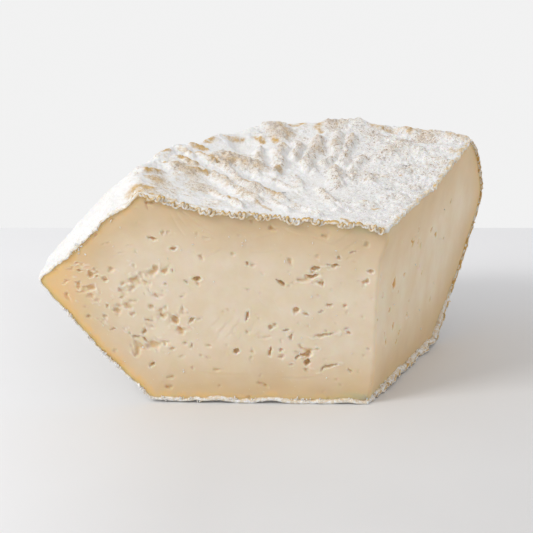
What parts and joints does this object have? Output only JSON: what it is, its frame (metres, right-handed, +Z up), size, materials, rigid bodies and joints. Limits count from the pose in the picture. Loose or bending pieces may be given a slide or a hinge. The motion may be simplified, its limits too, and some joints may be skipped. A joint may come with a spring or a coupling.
{
  "type": "soft cheese wedge",
  "caption": "Thick wedge cut from a sagged wheel of soft cheese, with a wrinkled pale rind, a bluntly pointed side and small eyes in its flat cut faces.",
  "frame": {"origin": "middle of the wedge's box, on the surface that it rests on", "axes": "+X along the front cut from the pointed rind towards the cut edge, +Y from the front cut to the back of the rind, +Z up"},
  "size_m": [0.1403, 0.0986, 0.0697],
  "materials": {
    "paste": "moist ivory paste, darker and more yellow next to the rind",
    "rind": "dry white bloom over a tan rind that shows along the ridges and cut edges"
  },
  "bodies": {
    "root": {"cheese": "paste"}
  },
  "joints": []
}
